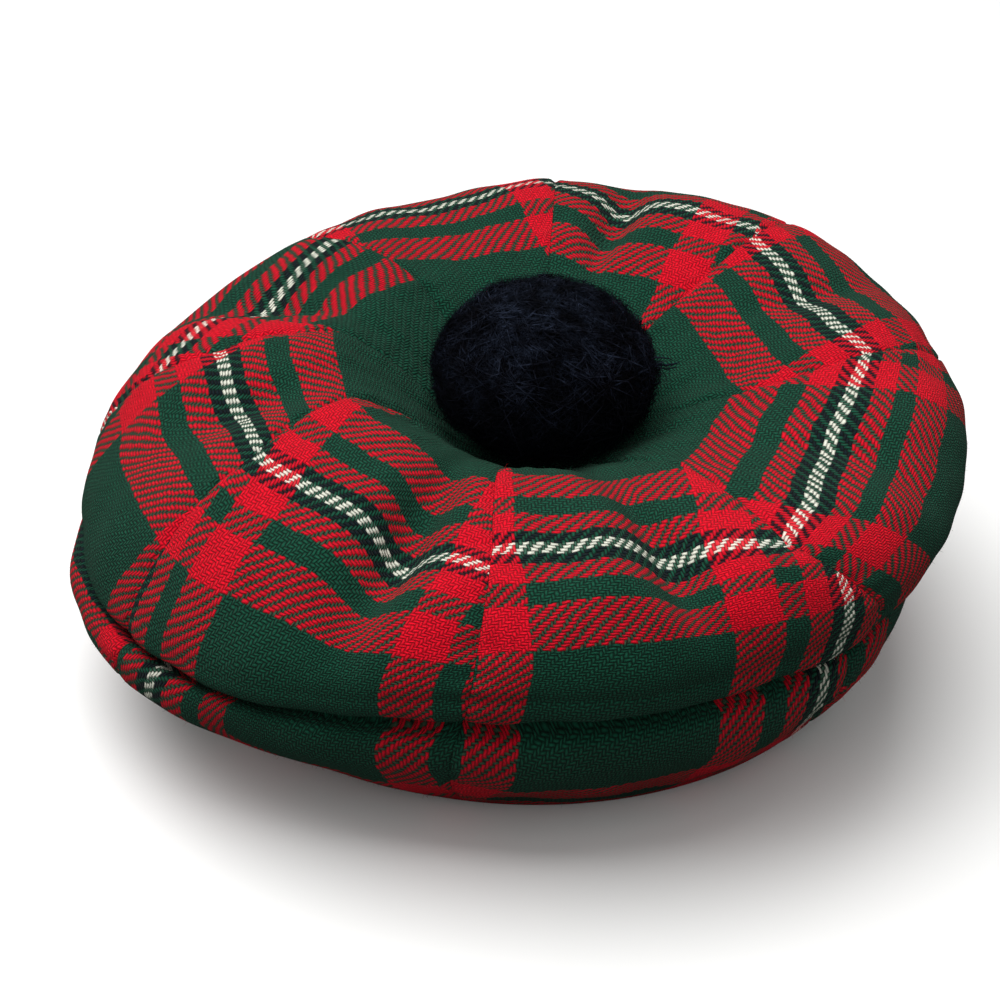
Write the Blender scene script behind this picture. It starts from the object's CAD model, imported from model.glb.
"""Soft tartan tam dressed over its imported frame: cloth gores, headband, pompom, tie and studio."""
import math

import bmesh
import bpy
import numpy as np
from bpy.props import FloatProperty, FloatVectorProperty, IntProperty, PointerProperty
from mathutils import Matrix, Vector


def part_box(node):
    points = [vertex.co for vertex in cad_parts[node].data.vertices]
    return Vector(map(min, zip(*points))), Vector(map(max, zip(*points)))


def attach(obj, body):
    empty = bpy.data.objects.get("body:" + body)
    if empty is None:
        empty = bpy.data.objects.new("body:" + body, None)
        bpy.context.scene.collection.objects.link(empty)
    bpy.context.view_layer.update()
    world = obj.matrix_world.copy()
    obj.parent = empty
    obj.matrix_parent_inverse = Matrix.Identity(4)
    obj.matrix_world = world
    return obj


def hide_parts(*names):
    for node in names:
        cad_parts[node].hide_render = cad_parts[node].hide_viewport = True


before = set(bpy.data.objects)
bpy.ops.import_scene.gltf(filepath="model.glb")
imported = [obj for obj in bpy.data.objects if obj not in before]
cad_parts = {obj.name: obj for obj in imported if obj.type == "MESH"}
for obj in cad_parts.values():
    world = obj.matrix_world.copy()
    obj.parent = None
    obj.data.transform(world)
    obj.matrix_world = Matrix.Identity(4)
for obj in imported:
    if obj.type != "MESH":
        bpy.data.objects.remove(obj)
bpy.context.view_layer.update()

bl_info = {
    "name": "Tartan tam",
    "version": (1, 0, 0),
    "blender": (4, 5, 0),
    "location": "3D View > Sidebar > Tam",
    "description": "Builds a soft eight-gore tartan tam with a yarn pompom and a plain studio",
    "category": "Object",
}

# Section through the cloth from the crown centre out and down to the hem:
# name, radius as a share of the rim radius, drop below the ridge as a share of the crown drop.
SECTION = (
    ("tip", 0.027, 0.340),
    ("dimple", 0.136, 0.306),
    ("dimple_wall", 0.227, 0.223),
    ("green_ring", 0.333, 0.126),
    ("inner_slope", 0.455, 0.049),
    ("inner_top", 0.591, 0.010),
    ("ridge", 0.727, 0.000),
    ("shoulder", 0.841, 0.044),
    ("slope", 0.924, 0.131),
    ("rim_top", 0.981, 0.233),
    ("rim", 1.000, 0.320),
    ("rim_under", 0.981, 0.388),
    ("crease", 0.932, 0.427),
    ("roll_top", 0.947, 0.485),
    ("roll", 0.932, 0.602),
    ("under", 0.864, 0.767),
    ("hem_top", 0.773, 0.922),
    ("hem", 0.727, 1.000),
)
HEM_STATION = len(SECTION) - 1.0

# Stations at which the seam table's columns hold.
TURN_STATIONS = (4.0, 6.0, 10.0, 14.0, 17.0)
SPREAD_STATIONS = (2.0, 6.0, 10.0, 14.0, 17.0)
LIFT_STATIONS = (1.5, 4.0, 6.0, 10.0, 14.0, 17.0)

# One row per seam. Turns in degrees from +X at the green ring, ridge, rim, roll and hem;
# spread at ridge, rim and roll as shares of the rim radius;
# lift at green ring, ridge, rim and roll as shares of the crown drop.
SEAMS = (
    (-101.0, -96.5, -98.0, -101.0, -103.0, -0.034, -0.068, -0.008, 0.000, -0.073, -0.019, -0.034),
    (-50.0, -55.0, -43.0, -47.0, -50.0, 0.098, -0.038, -0.015, -0.030, -0.058, 0.015, 0.000),
    (-7.0, 0.0, 12.0, 8.0, 6.0, 0.000, -0.038, -0.110, -0.050, 0.000, 0.107, 0.029),
    (45.0, 44.0, 51.0, 50.0, 48.0, 0.023, 0.038, -0.023, -0.010, 0.049, 0.126, 0.039),
    (86.0, 86.0, 88.0, 89.0, 90.0, 0.023, 0.030, 0.000, 0.020, 0.068, 0.097, 0.029),
    (127.0, 133.0, 132.0, 132.0, 132.0, -0.045, 0.015, 0.000, 0.050, 0.049, 0.039, 0.010),
    (166.0, 180.0, 176.0, 176.0, 176.0, -0.023, 0.030, 0.085, 0.070, 0.010, -0.049, 0.010),
    (204.0, 214.0, 213.0, 213.0, 214.0, -0.030, 0.030, 0.105, 0.060, -0.039, -0.117, -0.005),
)

# Valleys pressed into the crown between the seams: turn at the ridge and at the rim,
# centre station, reach in stations, width in degrees, depth as a share of the crown drop.
FOLDS = (
    (-113.0, -118.0, 6.2, 1.9, 6.0, 0.115),
    (-79.0, -80.0, 5.8, 1.6, 5.0, -0.025),
    (-69.0, -67.0, 6.2, 1.6, 5.0, 0.050),
    (-28.0, -22.0, 6.6, 2.0, 9.0, 0.030),
    (24.0, 28.0, 6.2, 1.6, 9.0, 0.045),
    (73.0, 70.0, 5.6, 1.4, 5.0, 0.055),
    (108.0, 108.0, 5.6, 1.4, 9.0, 0.025),
    (156.0, 154.0, 6.0, 1.7, 9.0, 0.080),
    (196.0, 194.0, 6.4, 2.0, 7.0, 0.055),
)

# Threads of each colour in one repeat of the cloth, the same in warp and weft.
SETT = (
    ("green", 64),
    ("red", 16),
    ("green", 8),
    ("red", 8),
    ("black", 4),
    ("white", 4),
    ("black", 4),
    ("red", 8),
    ("green", 8),
    ("red", 16),
)
REPEAT = sum(threads for name, threads in SETT)

# Sharp valleys where the cloth folds over: turn in degrees, centre station, reach in stations,
# width in degrees and depth in millimetres.
VALLEYS = (
    (246.0, 6.4, 2.4, 3.0, 2.2),
    (290.0, 6.3, 2.0, 2.6, 2.8),
    (331.0, 6.4, 1.8, 3.0, 1.6),
    (73.0, 5.7, 1.5, 2.6, 2.2),
    (155.0, 6.0, 1.7, 2.8, 2.2),
    (25.0, 6.3, 1.6, 2.8, 1.6),
)

# How each gore was cut from the cloth, in millimetres and shares: wide green stripe past the
# gore's middle at the ridge and at the rim; weft nearer the hem; stretch across and along; slant
# of the weft; cloth taken up in the fold and the fold's turn in degrees; then below the crease
# the stripe's shift, the weft's shift and the cloth taken up; bow of the weft towards the hem.
CUTS = (
    (-5.5, -16.0, 1.5, 1.00, 0.94, 0.00, 12.0, -72.0, 4.0, 0.0, 0.0, 0.0),
    (-5.0, -5.0, 0.0, 0.95, 1.00, -0.02, 0.0, 0.0, 0.0, 0.0, 0.0, 0.0),
    (1.5, 2.5, 2.5, 1.08, 0.98, 0.04, 0.0, 0.0, 0.0, 0.0, 0.0, 0.0),
    (16.0, 16.0, 10.0, 1.00, 1.05, -0.03, 0.0, 0.0, 0.0, 0.0, 0.0, 0.0),
    (4.0, 4.0, 15.0, 1.05, 1.02, -0.10, 0.0, 0.0, 0.0, 0.0, 0.0, 0.0),
    (-12.0, -15.0, 12.0, 1.00, 1.00, -0.20, 0.0, 0.0, 0.0, 0.0, 0.0, 0.0),
    (7.0, 6.5, 7.0, 1.10, 1.04, 0.04, 0.0, 0.0, 0.0, -52.0, 0.0, 0.0),
    (4.0, 2.5, 4.5, 1.00, 1.00, -0.10, 10.0, 244.0, 0.0, 0.0, 20.0, 4.0),
)
MM = 0.001

# Cloth lengths in metres from the crown centre to the sett's start, ridge, rim and crease;
# share of the cloth that is eased in below the crease.
SETT_START = 0.060
RIDGE_LENGTH = 0.105
RIM_LENGTH = 0.157
CREASE_LENGTH = 0.173
LOW_EASE = 0.22

# Width of a fold, and its lead below the crease, in degrees.
FOLD_WIDTH = 14.0
LOW_FOLD_LEAD = 12.0

# The crease under the rim and the sagging cloth: stations, and turns in degrees.
CREASE_STATION = 12.1
CREASE_REACH = 0.6
SIDE_TUCK_TURN = 190.0
SIDE_TUCK_WIDTH = 32.0
LOBE_STATION = 14.2
LOBE_REACH = 1.4
LOBE_WIDTH = 26.0

# Distances from a seam, in metres: groove, its wide bed, flat stitched strip, reach of puckers.
GROOVE_WIDTH = 0.0011
GROOVE_BED = 0.0040
STITCH_WIDTH = 0.0009
PUCKER_REACH = 0.0055

# Height in metres of the cloth's slow waves.
WAVE_HEIGHT = 0.00032


class TamCloth(bpy.types.PropertyGroup):
    """Sizes and colours of the woven cloth."""
    rim_radius: FloatProperty(
        name="Rim radius", description="Radius of the upper roll", default=0.132, unit='LENGTH')
    crown_drop: FloatProperty(
        name="Crown drop", description="Height of the ridge above the hem",
        default=0.103, unit='LENGTH')
    wall: FloatProperty(
        name="Cloth wall", description="Thickness of the wool", default=0.002, unit='LENGTH')
    seam_gap: FloatProperty(
        name="Seam gap", description="Clearance between neighbouring gores",
        default=0.0001, unit='LENGTH',
        precision=5)
    band_gap: FloatProperty(
        name="Band gap", description="Clearance between the hem and the headband", default=0.0003,
        unit='LENGTH', precision=5)
    hem_lift: FloatProperty(
        name="Hem lift", description="Height of the hem above the headband's edge",
        default=0.0015, unit='LENGTH')
    band_height: FloatProperty(
        name="Headband height", description="Height of the headband", default=0.020, unit='LENGTH')
    centre_x: FloatProperty(
        name="Centre X", description="Crown centre's offset to the left",
        default=-0.00546, unit='LENGTH')
    centre_y: FloatProperty(
        name="Centre Y", description="Crown centre's offset to the front",
        default=0.00845, unit='LENGTH')
    widen: FloatProperty(
        name="Widen opening", description="Share by which the hem is wider than round",
        default=0.04)
    narrow: FloatProperty(
        name="Narrow opening", description="Share by which the hem is shallower than round",
        default=0.08)
    lean: FloatProperty(
        name="Lean", description="Backward lean of the hem under the crown", default=0.065)
    thread: FloatProperty(
        name="Thread pitch", description="Distance between two threads",
        default=0.00092, unit='LENGTH',
        precision=5)
    groove: FloatProperty(
        name="Seam groove", description="Depth of the seams",
        default=0.0006, unit='LENGTH', precision=5)
    pucker: FloatProperty(
        name="Pucker", description="Height of the puckers along the seams", default=0.0004,
        unit='LENGTH', precision=5)
    tuck: FloatProperty(
        name="Tuck", description="Depth of the crease under the rim", default=0.0030, unit='LENGTH')
    side_tuck: FloatProperty(
        name="Side tuck", description="More depth of the crease on the left", default=0.0060,
        unit='LENGTH')
    lobe: FloatProperty(
        name="Lobe", description="How far the cloth sags out on the left",
        default=0.0040, unit='LENGTH')
    lobe_turn: FloatProperty(
        name="Lobe turn", description="Azimuth of the sagging cloth in degrees", default=200.0)
    hairs: IntProperty(
        name="Hairs", description="Loose wool hairs standing off the cloth", default=12500)
    red: FloatVectorProperty(
        name="Red", description="Red yarn",
        default=(0.70, 0.004, 0.021, 1.0), size=4, subtype='COLOR')
    green: FloatVectorProperty(
        name="Green", description="Green yarn",
        default=(0.0062, 0.060, 0.034, 1.0), size=4, subtype='COLOR')
    black: FloatVectorProperty(
        name="Black", description="Black yarn",
        default=(0.004, 0.008, 0.012, 1.0), size=4, subtype='COLOR')
    white: FloatVectorProperty(
        name="White", description="Cream yarn",
        default=(0.80, 0.80, 0.68, 1.0), size=4, subtype='COLOR')


class TamPompom(bpy.types.PropertyGroup):
    """Sizes and colours of the pompom and its tie."""
    radius: FloatProperty(
        name="Radius", description="Half the pompom's width", default=0.0326, unit='LENGTH')
    height: FloatProperty(
        name="Half height", description="Half the pompom's height", default=0.0257, unit='LENGTH')
    drop: FloatProperty(
        name="Drop", description="Pompom centre below the crown's ridge",
        default=0.0055, unit='LENGTH')
    shift_x: FloatProperty(
        name="Shift", description="Pompom centre to the right of the crown's", default=0.0026,
        unit='LENGTH')
    strands: IntProperty(
        name="Strands", description="Yarn strands in each of the two yarn pieces", default=5200)
    tufts: IntProperty(
        name="Tufts", description="Bunches that the strands lean together in", default=300)
    fibres: IntProperty(
        name="Fibres", description="Fine loose fibres over the yarn", default=7000)
    strand_radius: FloatProperty(
        name="Strand radius", description="Radius of a strand",
        default=0.00029, unit='LENGTH', precision=5)
    tie_radius: FloatProperty(
        name="Tie radius", description="Radius of the tie's stem", default=0.0026, unit='LENGTH')
    knot_radius: FloatProperty(
        name="Knot radius", description="Radius of the knot under the crown",
        default=0.0060, unit='LENGTH')
    knot_height: FloatProperty(
        name="Knot height", description="Height of the knot", default=0.0030, unit='LENGTH')
    dark: FloatVectorProperty(
        name="Dark yarn", description="Yarn in the shade",
        default=(0.0010, 0.0012, 0.0030, 1.0), size=4,
        subtype='COLOR')
    light: FloatVectorProperty(
        name="Light yarn", description="Yarn at the tips",
        default=(0.025, 0.035, 0.062, 1.0), size=4,
        subtype='COLOR')


class TamStudio(bpy.types.PropertyGroup):
    """Camera, light and floor."""
    elevation: FloatProperty(
        name="Elevation", description="Camera's height angle",
        default=math.radians(29.0), subtype='ANGLE')
    distance: FloatProperty(
        name="Distance", description="Camera to the crown", default=0.60, unit='LENGTH')
    lens: FloatProperty(name="Lens", description="Focal length in millimetres", default=73.4)
    roll: FloatProperty(
        name="Roll", description="Camera's roll", default=math.radians(-0.9), subtype='ANGLE')
    air: FloatProperty(
        name="Air", description="Strength of the light from all around", default=0.21)
    bounce: FloatVectorProperty(
        name="Bounce", description="Floor colour that lights the hat from below",
        default=(0.19, 0.19, 0.19, 1.0), size=4, subtype='COLOR')
    floor: FloatVectorProperty(
        name="Floor", description="Floor colour",
        default=(0.86, 0.86, 0.85, 1.0), size=4, subtype='COLOR')


def spline(values, position):
    """Smooth curve through a list of values, read at fractional positions."""
    rows = np.asarray(values, dtype=float)
    rows = np.concatenate([[2 * rows[0] - rows[1]], rows, [2 * rows[-1] - rows[-2]]])
    place = np.clip(position, 0.0, len(values) - 1 - 1e-9)
    step = place.astype(int)
    t = place - step
    a, b, c, d = rows[step], rows[step + 1], rows[step + 2], rows[step + 3]
    bend = (c - a) * t + (2 * a - 5 * b + 4 * c - d) * t ** 2 + (3 * b - a - 3 * c + d) * t ** 3
    return b + 0.5 * bend


def around(column, gore):
    """Seam table column read smoothly around the hat at gore coordinates."""
    rows = np.asarray([row[column] for row in SEAMS])
    rows = np.concatenate([rows[-2:], rows, rows[:3]])
    return spline(rows, np.mod(gore, len(SEAMS)) + 2.0)


def seam_turns(index, station):
    """Azimuths in degrees of the two seams that bound a gore."""
    left = np.asarray(SEAMS[index][:5])
    right = np.asarray(SEAMS[(index + 1) % len(SEAMS)][:5])
    if index == len(SEAMS) - 1:
        right = right + 360.0
    start = np.zeros_like(station)
    end = np.zeros_like(station)
    for offset, weight in ((-0.9, 0.25), (0.0, 0.5), (0.9, 0.25)):
        start = start + weight * np.interp(station + offset, TURN_STATIONS, left)
        end = end + weight * np.interp(station + offset, TURN_STATIONS, right)
    return start, end


def turn_of(gore, station):
    """Azimuth in degrees: straight blend between the two seams of each gore."""
    first = np.floor(gore).astype(int)
    share = gore - first
    turn = np.zeros_like(gore)
    for index in range(len(SEAMS)):
        here = np.mod(first, len(SEAMS)) == index
        start, end = seam_turns(index, station)
        turn = np.where(here, start + (end - start) * share, turn)
    return turn


def shift_of(columns, stations, gore, station):
    """Spread or lift of the seam table, fading to nothing at the crown centre and hem."""
    levels = [np.zeros_like(gore)] + [around(c, gore) for c in columns] + [np.zeros_like(gore)]
    total = np.zeros_like(gore)
    for index in range(len(levels) - 1):
        low = stations[index]
        high = stations[index + 1]
        inside = (station >= low) & (station <= high)
        share = (station - low) / (high - low)
        total = np.where(inside, levels[index] + (levels[index + 1] - levels[index]) * share, total)
    return total


def bump(distance, width):
    """Soft bell of height one."""
    return np.exp(-(distance / width) ** 2)


def ease(value):
    """Zero to one with a smooth start and end."""
    value = np.clip(value, 0.0, 1.0)
    return value * value * (3.0 - 2.0 * value)


def turns_apart(turn, line):
    """Degrees from a line to a turn, the short way round."""
    return np.mod(turn - line + 180.0, 360.0) - 180.0


def reach_of(gore, station):
    """Radius of the cloth as a share of the rim radius."""
    spread = shift_of((5, 6, 7), SPREAD_STATIONS, gore, station)
    return spline([row[1] for row in SECTION], station) + spread


def cloth(tam, gore, station):
    """Points on the outside of the cloth, one row of x, y, z per gore and station."""
    turn = turn_of(gore, station)
    drop = spline([row[2] for row in SECTION], station)
    reach = reach_of(gore, station)
    height = shift_of((8, 9, 10, 11), LIFT_STATIONS, gore, station) - drop
    for ridge_turn, rim_turn, centre, extent, width, depth in FOLDS:
        line = ridge_turn + (rim_turn - ridge_turn) * np.clip((station - 6.0) / 4.0, 0.0, 1.0)
        pressed = bump(turns_apart(turn, line), width) * bump(station - centre, extent)
        height = height - depth * pressed
    low = ease((station - 12.0) / 5.0)
    angle = np.radians(turn)
    x = tam.rim_radius * reach * np.cos(angle) * (1.0 + tam.widen * low)
    y = tam.rim_radius * reach * np.sin(angle) * (1.0 - tam.narrow * low)
    y = y + tam.lean * tam.crown_drop * drop
    z = tam.hem_lift + tam.crown_drop * (1.0 + height)
    return np.stack([x - tam.centre_x, y - tam.centre_y, z], axis=-1)


def outward(tam, gore, station):
    """Unit normals of the cloth, pointing out of the hat."""
    across = cloth(tam, gore + 0.01, station) - cloth(tam, gore - 0.01, station)
    along = cloth(tam, gore, station + 0.02) - cloth(tam, gore, station - 0.02)
    normal = np.cross(along, across)
    return normal / np.linalg.norm(normal, axis=-1, keepdims=True)


def lengths(tam):
    """Cloth length from the crown centre at fine stations, and the section's slope there."""
    station = np.linspace(0.0, HEM_STATION, 600)
    radius = tam.rim_radius * spline([row[1] for row in SECTION], station)
    height = tam.crown_drop * spline([row[2] for row in SECTION], station)
    step = np.hypot(np.diff(radius), np.diff(height))
    length = radius[0] + np.concatenate([[0.0], np.cumsum(step)])
    before = np.maximum(length - 0.02, length[0])
    after = np.minimum(length + 0.02, length[-1])
    out = np.interp(after, length, radius) - np.interp(before, length, radius)
    return station, length, out / (after - before)


def relief(tam, gore, station, edge, length):
    """Seam grooves, puckers, the tuck under the rim and slight waves of the cloth, in metres."""
    seam = np.mod(np.round(gore), len(SEAMS))
    turn = turn_of(gore, station)
    side = tam.side_tuck * bump(turns_apart(turn, SIDE_TUCK_TURN), SIDE_TUCK_WIDTH)
    total = -(tam.tuck + side) * bump(station - CREASE_STATION, CREASE_REACH)
    lobe = bump(turns_apart(turn, tam.lobe_turn), LOBE_WIDTH)
    total = total + tam.lobe * lobe * bump(station - LOBE_STATION, LOBE_REACH)
    for valley, centre, extent, width, depth in VALLEYS:
        pressed = bump(turns_apart(turn, valley), width) * bump(station - centre, extent)
        total = total - MM * depth * pressed
    total = total - tam.groove * (bump(edge, GROOVE_WIDTH) + 0.5 * bump(edge, GROOVE_BED))
    wave = np.sin(length / 0.0017 + 2.1 * seam + 1.6 * np.sin(length / 0.0081 + seam))
    wave = wave + 0.6 * np.sin(length / 0.0029 + 4.3 * seam)
    fade = np.exp(-edge / PUCKER_REACH) * (1.0 - bump(edge, STITCH_WIDTH))
    total = total + tam.pucker * wave * fade
    angle = np.radians(turn)
    slow = np.sin(9.0 * angle + length / 0.019) + np.sin(14.0 * angle - length / 0.013 + 1.0)
    slow = slow + 0.7 * np.sin(23.0 * angle + length / 0.0085 + 2.4)
    slow = slow + 0.5 * np.sin(37.0 * angle - length / 0.0062 + 0.7)
    total = total + WAVE_HEIGHT * slow
    return total * ease((HEM_STATION - station) / 1.6 + 0.08) * ease((station - 0.3) / 1.5)


def gore_cloth(tam, index, share, station):
    """Outer points, normals and weave map of one gore at shares across it and stations along it."""
    table_station, table_length, table_slope = lengths(tam)
    start, end = seam_turns(index, station)
    reach = reach_of(index + share, station)
    width = tam.rim_radius * reach * np.radians(end - start)
    margin = 0.5 * tam.seam_gap / width
    gore = index + margin + share * (1.0 - 2.0 * margin)
    edge = np.minimum(share, 1.0 - share) * width
    length = np.interp(station, table_station, table_length)
    slope = np.interp(station, table_station, table_slope)
    normal = outward(tam, gore, station)
    points = cloth(tam, gore, station) + normal * relief(tam, gore, station, edge, length)[:, None]
    ridge, rim, sunk, wide, long, slant, take, fold = CUTS[index][:8]
    low_aside, low_sunk, low_take, bow = CUTS[index][8:]
    low = ease(station - CREASE_STATION + 0.5)
    turn = turn_of(gore, station)
    across = (share - 0.5) * width
    along = length - 0.5 * across ** 2 * slope / np.maximum(tam.rim_radius * reach, 0.01)
    rise = np.clip((along - RIDGE_LENGTH) / (RIM_LENGTH - RIDGE_LENGTH), -0.8, 1.2)
    aside = MM * (ridge + (rim - ridge) * rise + low_aside * low)
    past = ease((turn - fold) / FOLD_WIDTH + 0.5)
    past_low = ease((turn - fold + LOW_FOLD_LEAD) / FOLD_WIDTH + 0.5)
    taken = take * (1.0 - 0.5 * np.clip(rise, 0.0, 1.0)) * (past - 0.5)
    taken = taken + low_take * low * (past_low - 1.0)
    down = along - LOW_EASE * np.maximum(along - CREASE_LENGTH, 0.0) - SETT_START
    bowed = 4.0 * bow * share * (1.0 - share)
    down = down * long + slant * across - MM * (sunk + low_sunk * low + bowed)
    right = across * wide - aside + MM * taken
    right = right + 0.0006 * np.sin(along / 0.011 + index) + 0.0004 * np.sin(along / 0.0047)
    down = down + 0.0006 * np.sin(across / 0.010 + 2.0 * index) + 0.0003 * np.sin(across / 0.004)
    green = SETT[0][1]
    threads = [0.5 * green + right / tam.thread + 2.0 * REPEAT, green + down / tam.thread + REPEAT]
    return points, normal, np.stack(threads, axis=-1) / REPEAT


def plain_mesh(bm, name):
    """Mesh from an edit mesh, with closed outward faces."""
    bmesh.ops.recalc_face_normals(bm, faces=bm.faces)
    if bm.calc_volume(signed=True) < 0.0:
        bmesh.ops.reverse_faces(bm, faces=bm.faces)
    mesh = bpy.data.meshes.new(name)
    bm.to_mesh(mesh)
    bm.free()
    return mesh


def slab(x_steps, y_steps):
    """Flat closed slab with sharp rims: x and y from 0 to 1, z 0 outside and 1 inside."""
    bm = bmesh.new()
    bmesh.ops.create_grid(bm, x_segments=x_steps, y_segments=y_steps, size=0.5)
    made = bmesh.ops.extrude_face_region(bm, geom=list(bm.faces))
    inner = [item for item in made["geom"] if isinstance(item, bmesh.types.BMVert)]
    bmesh.ops.translate(bm, verts=inner, vec=(0.0, 0.0, 1.0))
    bmesh.ops.translate(bm, verts=bm.verts, vec=(0.5, 0.5, 0.0))
    for face in bm.faces:
        face.smooth = True
    for side in bm.edges:
        flat = [face for face in side.link_faces if abs(face.normal.z) > 0.5]
        side.smooth = len(flat) != 1
    return bm


def coordinates(mesh):
    """Vertex coordinates of a mesh as rows."""
    flat = np.empty(len(mesh.vertices) * 3)
    mesh.vertices.foreach_get("co", flat)
    return flat.reshape(-1, 3)


def move(mesh, points, weave=None):
    """Move a mesh's vertices onto the given points and lay its weave map."""
    mesh.vertices.foreach_set("co", np.asarray(points, dtype=float).ravel())
    if weave is not None:
        corner = np.empty(len(mesh.loops), dtype=int)
        mesh.loops.foreach_get("vertex_index", corner)
        layer = mesh.uv_layers.new(name="weave")
        layer.data.foreach_set("uv", weave[corner].ravel())
    mesh.update()
    check = bmesh.new()
    check.from_mesh(mesh)
    if check.calc_volume(signed=True) < 0.0:
        bmesh.ops.reverse_faces(check, faces=check.faces)
        check.to_mesh(mesh)
    check.free()
    mesh.update()


def piece(name, mesh, material, slot, *nodes):
    """Object in the scene that rides on the hat and stands for frame nodes."""
    mesh.materials.append(material)
    item = bpy.data.objects.new(name, mesh)
    bpy.context.scene.collection.objects.link(item)
    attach(item, "root")
    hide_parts(*nodes)
    return item


class Graph:
    """Short calls for one material's nodes."""

    def __init__(self, name):
        known = bpy.data.materials.get(name)
        self.material = known or bpy.data.materials.new(name)
        self.material.use_nodes = True
        self.tree = self.material.node_tree
        self.shader = self.tree.nodes["Principled BSDF"]

    def add(self, kind, **settings):
        node = self.tree.nodes.new(kind)
        for key, value in settings.items():
            setattr(node, key, value)
        return node

    def feed(self, target, source):
        if isinstance(source, bpy.types.NodeSocket):
            self.tree.links.new(source, target)
        else:
            target.default_value = source

    def maths(self, operation, first, second=0.0, third=0.0):
        node = self.add("ShaderNodeMath", operation=operation)
        self.feed(node.inputs[0], first)
        self.feed(node.inputs[1], second)
        self.feed(node.inputs[2], third)
        return node.outputs[0]

    def mix(self, share, first, second, blend='MIX'):
        node = self.add("ShaderNodeMix", data_type='RGBA', blend_type=blend)
        self.feed(node.inputs[0], share)
        self.feed(node.inputs[6], first)
        self.feed(node.inputs[7], second)
        return node.outputs[2]

    def blend(self, share, first, second):
        node = self.add("ShaderNodeMix", data_type='FLOAT')
        self.feed(node.inputs[0], share)
        self.feed(node.inputs[2], first)
        self.feed(node.inputs[3], second)
        return node.outputs[0]

    def noise(self, vector, scale, detail=2.0, roughness=0.5):
        node = self.add("ShaderNodeTexNoise", noise_dimensions='3D')
        self.feed(node.inputs["Vector"], vector)
        node.inputs["Scale"].default_value = scale
        node.inputs["Detail"].default_value = detail
        node.inputs["Roughness"].default_value = roughness
        return node


def sett_colours(graph, tam, thread):
    """Colour of a thread by its number in the repeat."""
    ramp = graph.add("ShaderNodeValToRGB")
    ramp.color_ramp.interpolation = 'CONSTANT'
    palette = {"red": tam.red, "green": tam.green, "black": tam.black, "white": tam.white}
    count = 0
    for index, (name, threads) in enumerate(SETT):
        if index < 2:
            stop = ramp.color_ramp.elements[index]
            stop.position = count / REPEAT
        else:
            stop = ramp.color_ramp.elements.new(count / REPEAT)
        stop.color = palette[name]
        count = count + threads
    middle = graph.maths('ADD', thread, 0.5)
    share = graph.maths('FRACT', graph.maths('DIVIDE', middle, float(REPEAT)))
    graph.feed(ramp.inputs[0], share)
    return ramp.outputs[0]


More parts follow.
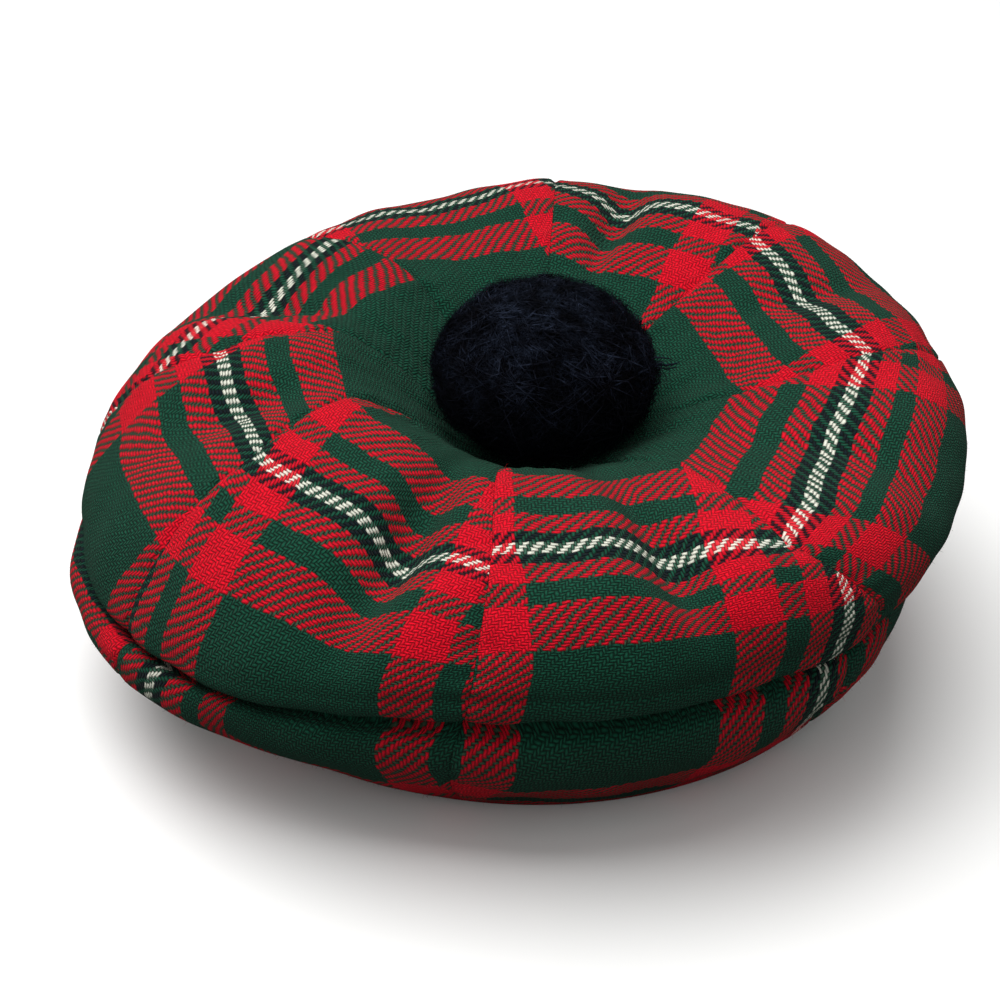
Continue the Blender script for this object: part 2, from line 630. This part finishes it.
def tartan_wool():
    """Two-over-two twill in brushed wool, with every thread raised and coloured."""
    known = bpy.data.materials.get("tartan_wool")
    if known:
        return known
    tam = bpy.context.scene.tam_cloth
    graph = Graph("tartan_wool")
    weave = graph.add("ShaderNodeUVMap", uv_map="weave")
    wander = graph.noise(weave.outputs[0], 42.0, 2.0)
    apart = graph.add("ShaderNodeSeparateColor")
    graph.feed(apart.inputs[0], wander.outputs["Color"])
    place = graph.add("ShaderNodeSeparateXYZ")
    graph.feed(place.inputs[0], weave.outputs[0])
    shift_x = graph.maths('MULTIPLY', graph.maths('SUBTRACT', apart.outputs[0], 0.5), 1.5)
    shift_y = graph.maths('MULTIPLY', graph.maths('SUBTRACT', apart.outputs[1], 0.5), 1.5)
    across = graph.maths('MULTIPLY_ADD', place.outputs[0], float(REPEAT), shift_x)
    along = graph.maths('MULTIPLY_ADD', place.outputs[1], float(REPEAT), shift_y)
    column = graph.maths('FLOOR', across)
    row = graph.maths('FLOOR', along)
    # Warp floats run along the gore, weft floats across it; each spans just over two threads.
    over = 0.22
    span = 2.0 + 2.0 * over
    cell = graph.maths('FLOORED_MODULO', graph.maths('ADD', column, row), 4.0)
    cell = graph.maths('SUBTRACT', graph.maths('LESS_THAN', cell, 1.5), 0.5)
    warp_phase = graph.maths('ADD', graph.maths('ADD', column, along), over)
    weft_phase = graph.maths('ADD', graph.maths('ADD', across, row), over - 2.0)
    phases = [graph.maths('FLOORED_MODULO', phase, 4.0) for phase in (warp_phase, weft_phase)]
    both = [graph.maths('LESS_THAN', phase, span) for phase in phases]
    both = graph.maths('MULTIPLY', both[0], both[1])
    warp = sett_colours(graph, tam, column)
    weft = sett_colours(graph, tam, row)
    brights = []
    for yarn_colour in (warp, weft):
        parts = graph.add("ShaderNodeSeparateColor")
        graph.feed(parts.inputs[0], yarn_colour)
        brights.append(graph.maths('SUBTRACT', parts.outputs[0], parts.outputs[1]))
    # Where two floats meet, the loftier red yarn lies on top.
    brighter = graph.maths('MULTIPLY', graph.maths('SUBTRACT', brights[0], brights[1]), both)
    warp_on_top = graph.maths('GREATER_THAN', graph.maths('MULTIPLY_ADD', brighter, 4.0, cell), 0.0)
    levels = []
    for phase, sideways in zip(phases, (across, along)):
        crown = graph.maths('MINIMUM', graph.maths('DIVIDE', phase, span), 1.0)
        crown = graph.maths('SINE', graph.maths('MULTIPLY', crown, math.pi))
        crown = graph.maths('POWER', graph.maths('MAXIMUM', crown, 0.0), 0.6)
        side = graph.maths('SINE', graph.maths('MULTIPLY', graph.maths('FRACT', sideways), math.pi))
        side = graph.maths('POWER', side, 0.7)
        levels.append(graph.maths('MULTIPLY', crown, side))
    level = graph.blend(warp_on_top, levels[1], levels[0])
    top = graph.mix(warp_on_top, weft, warp)
    under = graph.mix(warp_on_top, warp, weft)
    colour = graph.mix(0.03, graph.mix(0.20, top, under, 'MULTIPLY'), under)
    # Yarn tone differs a little from float to float, and loose fibres blur its edges.
    knot = graph.add("ShaderNodeCombineXYZ")
    graph.feed(knot.inputs[0], column)
    graph.feed(knot.inputs[1], row)
    spot = graph.add("ShaderNodeTexWhiteNoise", noise_dimensions='2D')
    graph.feed(spot.inputs["Vector"], knot.outputs[0])
    fibre = graph.noise(weave.outputs[0], 420.0, 3.0, 0.7)
    cloud = graph.noise(weave.outputs[0], 9.0, 2.0)
    tone = graph.maths('MULTIPLY_ADD', spot.outputs["Value"], 0.22, 0.55)
    tone = graph.maths('MULTIPLY_ADD', fibre.outputs["Fac"], 0.36, tone)
    tone = graph.maths('MULTIPLY_ADD', cloud.outputs["Fac"], 0.16, tone)
    # The dark yarns show deeper gaps between their floats than the bright ones.
    parts = graph.add("ShaderNodeSeparateColor")
    graph.feed(parts.inputs[0], top)
    bright = graph.maths('GREATER_THAN', parts.outputs[0], 0.3)
    deep = graph.maths('MULTIPLY_ADD', graph.maths('POWER', level, 1.8), 1.5, 0.25)
    shade = graph.blend(bright, deep, graph.maths('MULTIPLY_ADD', level, 0.85, 0.38))
    tone = graph.maths('MULTIPLY', tone, shade)
    grey = graph.add("ShaderNodeCombineXYZ")
    for socket in grey.inputs:
        graph.feed(socket, tone)
    colour = graph.mix(1.0, colour, grey.outputs[0], 'MULTIPLY')
    graph.feed(graph.shader.inputs["Base Color"], colour)
    raised = graph.maths('MULTIPLY_ADD', fibre.outputs["Fac"], 0.45, level)
    relief_node = graph.add("ShaderNodeBump")
    relief_node.inputs["Strength"].default_value = 0.85
    relief_node.inputs["Distance"].default_value = 0.0006
    graph.feed(relief_node.inputs["Height"], raised)
    graph.feed(graph.shader.inputs["Normal"], relief_node.outputs[0])
    graph.shader.inputs["Roughness"].default_value = 0.92
    graph.shader.inputs["Specular IOR Level"].default_value = 0.05
    graph.shader.inputs["Sheen Weight"].default_value = 0.03
    graph.shader.inputs["Sheen Roughness"].default_value = 0.55
    graph.shader.inputs["Sheen Tint"].default_value = (1.0, 0.95, 0.9, 1.0)
    return graph.material


# Height in metres where the yarn is darkest, and the depth over which it lightens.
SHADE_FOOT = 0.090
SHADE_DEPTH = 0.030


def pompom_wool():
    """Nearly black navy yarn, a little lighter at the cut tips."""
    known = bpy.data.materials.get("pompom_wool")
    if known:
        return known
    yarn = bpy.context.scene.tam_pompom
    graph = Graph("pompom_wool")
    place = graph.add("ShaderNodeTexCoord")
    patch = graph.noise(place.outputs["Object"], 420.0, 4.0, 0.7)
    curve = graph.maths('MULTIPLY_ADD', patch.outputs["Fac"], 2.6, -0.85)
    curve = graph.maths('SMOOTH_MIN', curve, 1.0, 0.1)
    curve = graph.maths('MAXIMUM', curve, 0.0)
    wisp = graph.noise(place.outputs["Object"], 125.0, 2.0, 0.6)
    wisp = graph.maths('MULTIPLY_ADD', wisp.outputs["Fac"], 4.4, -1.65)
    wisp = graph.maths('MINIMUM', graph.maths('MAXIMUM', wisp, 0.10), 1.0)
    curve = graph.maths('MULTIPLY', curve, wisp)
    apart = graph.add("ShaderNodeSeparateXYZ")
    graph.feed(apart.inputs[0], place.outputs["Object"])
    slope, start = 1.0 / SHADE_DEPTH, -SHADE_FOOT / SHADE_DEPTH
    lift = graph.maths('MULTIPLY_ADD', apart.outputs[2], slope, start)
    lift = graph.maths('MINIMUM', graph.maths('MAXIMUM', lift, 0.06), 1.0)
    curve = graph.maths('MULTIPLY', curve, lift)
    colour = graph.mix(curve, tuple(yarn.dark), tuple(yarn.light))
    graph.feed(graph.shader.inputs["Base Color"], colour)
    graph.shader.inputs["Roughness"].default_value = 0.9
    graph.shader.inputs["Specular IOR Level"].default_value = 0.06
    return graph.material


class TAM_OT_gores(bpy.types.Operator):
    """Sew the eight cloth gores from the crown centre to the hem."""
    bl_idname = "tam.gores"
    bl_label = "Cloth gores"

    def execute(self, context):
        tam = context.scene.tam_cloth
        for index in range(len(SEAMS)):
            name = "tam_gore_%d" % (index + 1)
            mesh = plain_mesh(slab(64, 190), name)
            flat = coordinates(mesh)
            share = 0.4 * flat[:, 0] + 0.6 * (0.5 - 0.5 * np.cos(math.pi * flat[:, 0]))
            points, normal, weave = gore_cloth(tam, index, share, flat[:, 1] * HEM_STATION)
            move(mesh, points - normal * (tam.wall * flat[:, 2])[:, None], weave)
            piece(name, mesh, tartan_wool(), "tartan_cloth", "gore_%d" % (index + 1))
        return {'FINISHED'}


class TAM_OT_headband(bpy.types.Operator):
    """Set the headband just inside the hem."""
    bl_idname = "tam.headband"
    bl_label = "Headband"

    def execute(self, context):
        tam = context.scene.tam_cloth
        bm = bmesh.new()
        bmesh.ops.create_cone(bm, cap_ends=False, segments=256, radius1=1.0, radius2=1.0, depth=1.0)
        upright = [side for side in bm.edges if abs(side.verts[0].co.z - side.verts[1].co.z) > 0.5]
        bmesh.ops.subdivide_edges(bm, edges=upright, cuts=11, use_grid_fill=True)
        made = bmesh.ops.extrude_face_region(bm, geom=list(bm.faces))
        inner = [item for item in made["geom"] if isinstance(item, bmesh.types.BMVert)]
        bmesh.ops.scale(bm, verts=inner, vec=(0.5, 0.5, 1.0))
        for face in bm.faces:
            face.smooth = True
        mesh = plain_mesh(bm, "tam_headband")
        flat = coordinates(mesh)
        inside = np.hypot(flat[:, 0], flat[:, 1]) < 0.75
        turn = np.mod(np.arctan2(flat[:, 1], flat[:, 0]) / math.tau, 1.0)
        height = tam.band_height * (flat[:, 2] + 0.5) ** 2
        ring = cloth(tam, turn * len(SEAMS), np.full_like(turn, HEM_STATION))
        centre = 0.5 * (ring.max(axis=0) + ring.min(axis=0))
        soft = np.clip(1.0 - height / 0.001, 0.0, 1.0)
        pinch = 0.42 * tam.wall * (1.0 - np.sqrt(1.0 - soft ** 2 * 0.98))
        step = tam.wall + tam.band_gap
        inward = np.where(inside, 2.0 * step - pinch, step + pinch)
        ripple = 0.00012 * (1.0 + np.sin(turn * math.tau * 61.0))
        inward = inward - np.where(inside, 1.0, -1.0) * ripple
        level = ring[:, :2] - centre[:2]
        span = np.linalg.norm(level, axis=1)
        ring[:, :2] = centre[:2] + level * ((span - inward) / span)[:, None]
        ring[:, 2] = height
        girth = math.pi * 0.5 * (np.ptp(ring[:, 0]) + np.ptp(ring[:, 1]))
        repeats = round(girth / (tam.thread * REPEAT))
        weave = np.stack([2.0 + turn * repeats, 0.52 + height / tam.thread / REPEAT], axis=-1)
        move(mesh, ring, weave)
        piece("tam_headband", mesh, tartan_wool(), "tartan_cloth", "headband")
        return {'FINISHED'}


def yarn_copies(name, sides, steps, copies):
    """Closed strand along z from 0 to 1, copied in a row by an Array modifier."""
    bm = bmesh.new()
    bmesh.ops.create_cone(bm, cap_ends=True, segments=sides, radius1=1.0, radius2=1.0, depth=1.0)
    bmesh.ops.translate(bm, verts=bm.verts, vec=(0.0, 0.0, 0.5))
    upright = [side for side in bm.edges if abs(side.verts[0].co.z - side.verts[1].co.z) > 0.5]
    bmesh.ops.subdivide_edges(bm, edges=upright, cuts=steps - 1, use_grid_fill=True)
    for face in bm.faces:
        face.smooth = True
    strand = plain_mesh(bm, name + "_strand")
    item = bpy.data.objects.new(name + "_strand", strand)
    bpy.context.scene.collection.objects.link(item)
    row = item.modifiers.new("Row", 'ARRAY')
    row.count = copies
    row.use_relative_offset = False
    row.use_constant_offset = True
    row.constant_offset_displace = (4.0, 0.0, 0.0)
    ready = item.evaluated_get(bpy.context.evaluated_depsgraph_get())
    mesh = bpy.data.meshes.new_from_object(ready)
    mesh.name = name
    bpy.data.objects.remove(item, do_unlink=True)
    flat = coordinates(mesh)
    number = np.round(flat[:, 0] / 4.0).astype(int)
    flat[:, 0] = flat[:, 0] - 4.0 * number
    return mesh, flat, number


def directions(count, random):
    """Evenly spread unit vectors with a little scatter."""
    step = np.arange(count) + 0.5
    level = 1.0 - 2.0 * step / count
    turn = step * math.pi * (3.0 - math.sqrt(5.0))
    flat = np.sqrt(1.0 - level ** 2)
    rays = np.stack([flat * np.cos(turn), flat * np.sin(turn), level], axis=-1)
    rays = rays + random.normal(0.0, 0.35 / math.sqrt(count) * 3.0, rays.shape)
    return rays / np.linalg.norm(rays, axis=-1, keepdims=True)


def comb(rays):
    """Slow field of directions in which the yarn is brushed."""
    x, y, z = rays[:, 0], rays[:, 1], rays[:, 2]
    first = np.sin(3.1 * y + 1.7 * z + 0.4) + 0.6 * np.sin(7.3 * z - 5.1 * x)
    second = np.sin(2.7 * z - 2.2 * x + 1.9) + 0.6 * np.sin(6.1 * x + 4.7 * y)
    third = 0.7 * np.sin(3.7 * x - 2.9 * y + 0.8) + 0.4 * np.sin(8.2 * y + 3.3 * z)
    return np.stack([first, second, third], axis=-1)


# Directions from the pompom's centre to the whorl in its top and the wisp at its side;
# depth, reach and widths as shares of the radius.
WHORL = np.array([0.52, -0.05, 0.85])
WHORL_DEPTH = 0.13
WHORL_WIDTH = 0.26
STRAY = np.array([0.96, -0.20, 0.20])
STRAY_REACH = 0.26
STRAY_WIDTH = 0.06


def yarn(name, pom, centre, count, sides, steps, thick, root, tip, bend, seed):
    """Curved strands of yarn from the core out to the pompom's surface."""
    random = np.random.default_rng(seed)
    mesh, flat, number = yarn_copies(name, sides, steps, count)
    rays = directions(count, random)
    shared = np.random.default_rng(21)
    tufts = directions(pom.tufts, shared)
    lean = shared.normal(0.0, 0.5, tufts.shape) * bend
    tall = shared.normal(0.0, 0.030, pom.tufts)
    near = np.argmax(rays @ tufts.T, axis=1)
    scatter = random.normal(0.0, 1.0, rays.shape)
    swing = 0.30 * bend * comb(rays) + lean[near] + 0.28 * bend * scatter
    swing = swing + 0.30 * (tufts[near] - rays)
    curl = random.normal(0.0, 0.50 * bend, rays.shape)
    reach = tip * (1.0 + tall[near] + random.normal(0.0, 0.008, count))
    lumps = np.sin(5.0 * rays[:, 0] + 3.0 * rays[:, 2]) * np.sin(4.0 * rays[:, 1] + 1.0)
    reach = reach + 0.030 * lumps
    reach = reach - WHORL_DEPTH * bump(np.linalg.norm(rays - WHORL, axis=1), WHORL_WIDTH)
    reach = np.where(rays[:, 2] < -0.45, np.minimum(reach, 0.93), reach)
    stray = bump(np.linalg.norm(rays - STRAY, axis=1), STRAY_WIDTH)
    reach = reach + STRAY_REACH * stray
    swing = swing * (1.0 - stray)[:, None] + (0.95 * stray)[:, None] * (STRAY - rays)
    curl = curl * (1.0 - stray)[:, None]
    share = flat[:, 2]
    path = rays[number] + swing[number] * (share ** 2.1)[:, None]
    path = path + curl[number] * (np.sin(2.6 * math.pi * share) * share)[:, None]
    path = path / np.linalg.norm(path, axis=-1, keepdims=True)
    span = root + (reach[number] - root) * np.sin(0.5 * math.pi * share)
    radii = np.array([pom.radius, pom.radius, pom.height])
    spine = centre + path * span[:, None] * radii
    side = np.cross(path, np.array([0.31, 0.83, 0.46]))
    side = side / np.linalg.norm(side, axis=-1, keepdims=True)
    other = np.cross(path, side)
    width = thick * (0.8 + 0.45 * np.sin(math.pi * np.clip(share * 0.85 + 0.1, 0.0, 1.0)))
    width = np.where(share > 0.98, 0.35 * width, width)
    points = spine + side * (flat[:, 0] * width)[:, None] + other * (flat[:, 1] * width)[:, None]
    move(mesh, points)
    piece(name, mesh, pompom_wool(), "pompom_yarn", "pompom")


# Size of the dense core as a share of the pompom's.
CORE_SHARE = 0.84


class TAM_OT_pompom(bpy.types.Operator):
    """Bunch the pompom from strands of cut yarn over a dense core."""
    bl_idname = "tam.pompom"
    bl_label = "Yarn pompom"

    def execute(self, context):
        tam = context.scene.tam_cloth
        pom = context.scene.tam_pompom
        height = tam.hem_lift + tam.crown_drop - pom.drop
        centre = np.array([pom.shift_x - tam.centre_x, -tam.centre_y, height])
        bm = bmesh.new()
        bmesh.ops.create_icosphere(bm, subdivisions=5, radius=1.0)
        for face in bm.faces:
            face.smooth = True
        mesh = plain_mesh(bm, "tam_pompom_core")
        flat = coordinates(mesh)
        x, y, z = flat[:, 0], flat[:, 1], flat[:, 2]
        lumps = 1.0 + 0.03 * np.sin(19.0 * x) * np.sin(17.0 * y) * np.sin(21.0 * z)
        radii = np.array([pom.radius, pom.radius, pom.height]) * CORE_SHARE
        move(mesh, centre + flat * lumps[:, None] * radii)
        piece("tam_pompom_core", mesh, pompom_wool(), "pompom_yarn", "pompom")
        thick = pom.strand_radius
        yarn("tam_pompom_yarn_a", pom, centre, pom.strands, 3, 5, thick, 0.70, 0.985, 0.52, 3)
        yarn("tam_pompom_yarn_b", pom, centre, pom.strands, 3, 5, 0.7 * thick, 0.74, 0.997, 0.66, 5)
        yarn("tam_pompom_fibres", pom, centre, pom.fibres, 3, 4, 0.20 * thick, 0.86, 1.018, 0.70, 8)
        return {'FINISHED'}


class TAM_OT_tie(bpy.types.Operator):
    """Knot the tie that holds the pompom through the crown."""
    bl_idname = "tam.tie"
    bl_label = "Pompom tie"

    def execute(self, context):
        pom = context.scene.tam_pompom
        low, high = [np.array(corner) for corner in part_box("pompom_tie")]
        middle = 0.5 * (low + high)
        knot_top = low[2] + pom.knot_height
        bm = bmesh.new()
        bmesh.ops.create_cone(bm, cap_ends=True, segments=32, radius1=pom.tie_radius,
                              radius2=pom.tie_radius, depth=high[2] - knot_top)
        bmesh.ops.translate(bm, verts=bm.verts, vec=(0.0, 0.0, 0.5 * (high[2] + knot_top)))
        made = bmesh.ops.create_uvsphere(bm, u_segments=32, v_segments=16, radius=1.0)
        half = 0.5 * pom.knot_height
        bmesh.ops.scale(bm, verts=made["verts"], vec=(pom.knot_radius, pom.knot_radius, half))
        bmesh.ops.translate(bm, verts=made["verts"], vec=(0.0, 0.0, low[2] + half))
        for vert in made["verts"]:
            turn = math.atan2(vert.co.y, vert.co.x)
            wrap = 1.0 + 0.05 * math.sin(9.0 * turn + 1400.0 * vert.co.z)
            vert.co.x = vert.co.x * wrap
            vert.co.y = vert.co.y * wrap
        bmesh.ops.translate(bm, verts=bm.verts, vec=(middle[0], middle[1], 0.0))
        for face in bm.faces:
            face.smooth = True
        mesh = plain_mesh(bm, "tam_pompom_tie")
        piece("tam_pompom_tie", mesh, pompom_wool(), "pompom_yarn", "pompom_tie")
        return {'FINISHED'}


# Loose hairs, in metres: where they start, shortest, longest, depth of the root and radius.
NAP_START = 0.045
HAIR_SHORT = 0.0004
HAIR_LONG = 0.0010
HAIR_ROOT = 0.0002
HAIR_RADIUS = 0.000035


class TAM_OT_nap(bpy.types.Operator):
    """Raise short loose hairs from the brushed wool."""
    bl_idname = "tam.nap"
    bl_label = "Wool nap"

    def execute(self, context):
        tam = context.scene.tam_cloth
        random = np.random.default_rng(17)
        mesh, flat, number = yarn_copies("tam_nap", 3, 2, tam.hairs)
        table_station, table_length = lengths(tam)[:2]
        length = random.uniform(NAP_START, table_length[-1] - 0.002, 3 * tam.hairs)
        station = np.interp(length, table_length, table_station)
        kept = random.uniform(0.0, 1.1, len(station)) < reach_of(np.zeros_like(station), station)
        station = station[kept][:tam.hairs]
        place = random.uniform(0.0, len(SEAMS) - 0.001, len(station))
        base, normal = np.zeros((tam.hairs, 3)), np.zeros((tam.hairs, 3))
        weave = np.zeros((tam.hairs, 2))
        for index in range(len(SEAMS)):
            here = np.floor(place).astype(int) == index
            share = 0.01 + 0.98 * (place[here] - index)
            base[here], normal[here], weave[here] = gore_cloth(tam, index, share, station[here])
        way = 0.7 * normal + random.normal(0.0, 0.42, normal.shape)
        curl = random.normal(0.0, 0.35, normal.shape)
        span = random.uniform(HAIR_SHORT, HAIR_LONG, tam.hairs)[number][:, None]
        share = flat[:, 2:3]
        spine = base[number] - HAIR_ROOT * normal[number]
        spine = spine + span * (way[number] * share + curl[number] * share ** 2)
        side = np.cross(way, np.array([0.31, 0.83, 0.46]))
        side = side / np.linalg.norm(side, axis=-1, keepdims=True)
        other = np.cross(way, side)
        other = other / np.linalg.norm(other, axis=-1, keepdims=True)
        width = HAIR_RADIUS * (1.0 - 0.6 * share)
        points = spine + side[number] * flat[:, 0:1] * width + other[number] * flat[:, 1:2] * width
        move(mesh, points, weave[number])
        nodes = ["gore_%d" % (index + 1) for index in range(len(SEAMS))]
        piece("tam_nap", mesh, tartan_wool(), "tartan_cloth", *nodes)
        return {'FINISHED'}


def softbox(name, place, aim, size, power):
    """Square area light turned to its aim."""
    lamp = bpy.data.lights.new(name, 'AREA')
    lamp.size = size
    lamp.energy = power
    item = bpy.data.objects.new(name, lamp)
    bpy.context.scene.collection.objects.link(item)
    item.location = place
    item.rotation_euler = (Vector(aim) - Vector(place)).to_track_quat('-Z', 'Y').to_euler()


# Soft lights: name, place, size and power in watts; the point that they face.
LAMPS = (
    ("studio_top", (-0.35, 0.05, 1.80), 1.7, 48.0),
    ("studio_front", (0.25, -1.15, 1.25), 1.0, 6.0),
    ("studio_left", (-1.1, -0.2, 0.6), 0.8, 1.5),
)
LAMP_AIM = (0.0, 0.0, 0.05)

# Half the floor's side, and the camera's aim from the crown centre, in metres.
FLOOR_HALF = 8.0
AIM_RIGHT = -0.0106
AIM_UP = -0.0432


class TAM_OT_studio(bpy.types.Operator):
    """Set the pale floor, the soft lights and the camera."""
    bl_idname = "tam.studio"
    bl_label = "Studio"

    def execute(self, context):
        tam = context.scene.tam_cloth
        studio = context.scene.tam_studio
        bm = bmesh.new()
        bmesh.ops.create_grid(bm, x_segments=1, y_segments=1, size=FLOOR_HALF)
        mesh = bpy.data.meshes.new("studio_floor")
        bm.to_mesh(mesh)
        bm.free()
        graph = Graph("studio_floor")
        seen = graph.add("ShaderNodeLightPath")
        shown = graph.mix(seen.outputs["Is Camera Ray"], tuple(studio.bounce), tuple(studio.floor))
        graph.feed(graph.shader.inputs["Base Color"], shown)
        graph.shader.inputs["Roughness"].default_value = 0.95
        mesh.materials.append(graph.material)
        ground = bpy.data.objects.new("studio_floor", mesh)
        context.scene.collection.objects.link(ground)
        for name, place, size, power in LAMPS:
            softbox(name, place, LAMP_AIM, size, power)
        world = bpy.data.worlds.new("studio_air")
        world.use_nodes = True
        tree = world.node_tree
        seen = tree.nodes.new("ShaderNodeLightPath")
        glow = tree.nodes.new("ShaderNodeMath")
        glow.operation = 'MULTIPLY_ADD'
        tree.links.new(seen.outputs["Is Camera Ray"], glow.inputs[0])
        glow.inputs[1].default_value = 1.0 - studio.air
        glow.inputs[2].default_value = studio.air
        tree.nodes["Background"].inputs[0].default_value = (1.0, 1.0, 1.0, 1.0)
        tree.links.new(glow.outputs[0], tree.nodes["Background"].inputs[1])
        context.scene.world = world
        context.scene.view_settings.view_transform = 'Standard'
        crown = Vector((-tam.centre_x, -tam.centre_y, tam.hem_lift + tam.crown_drop))
        back = Vector((0.0, -math.cos(studio.elevation), math.sin(studio.elevation)))
        up = Vector((0.0, math.sin(studio.elevation), math.cos(studio.elevation)))
        aim = crown + Vector((AIM_RIGHT, 0.0, 0.0)) + up * AIM_UP
        lens = bpy.data.cameras.new("studio_camera")
        lens.lens = studio.lens
        lens.clip_start = 0.01
        camera = bpy.data.objects.new("studio_camera", lens)
        context.scene.collection.objects.link(camera)
        camera.location = crown + back * studio.distance
        turn = (aim - camera.location).to_track_quat('-Z', 'Y').to_matrix().to_4x4()
        camera.rotation_euler = turn.to_euler()
        camera.rotation_euler.rotate_axis('Z', studio.roll)
        context.scene.camera = camera
        return {'FINISHED'}


class TAM_PT_panel(bpy.types.Panel):
    """Sizes, colours and steps of the tam."""
    bl_idname = "TAM_PT_panel"
    bl_label = "Tartan tam"
    bl_space_type = 'VIEW_3D'
    bl_region_type = 'UI'
    bl_category = "Tam"

    def draw(self, context):
        for group in (context.scene.tam_cloth, context.scene.tam_pompom, context.scene.tam_studio):
            box = self.layout.box()
            for key in group.__annotations__:
                box.prop(group, key)
        for step in STEPS:
            self.layout.operator(step.bl_idname)


GROUPS = (("tam_cloth", TamCloth), ("tam_pompom", TamPompom), ("tam_studio", TamStudio))
STEPS = (TAM_OT_gores, TAM_OT_headband, TAM_OT_nap, TAM_OT_pompom, TAM_OT_tie, TAM_OT_studio)


def register():
    for name, group in GROUPS:
        bpy.utils.register_class(group)
        setattr(bpy.types.Scene, name, PointerProperty(type=group))
    for step in STEPS:
        bpy.utils.register_class(step)
    bpy.utils.register_class(TAM_PT_panel)


def unregister():
    bpy.utils.unregister_class(TAM_PT_panel)
    for step in reversed(STEPS):
        bpy.utils.unregister_class(step)
    for name, group in reversed(GROUPS):
        delattr(bpy.types.Scene, name)
        bpy.utils.unregister_class(group)


def main():
    register()
    bpy.ops.tam.gores()
    bpy.ops.tam.headband()
    bpy.ops.tam.nap()
    bpy.ops.tam.pompom()
    bpy.ops.tam.tie()
    bpy.ops.tam.studio()


if __name__ == "__main__":
    main()
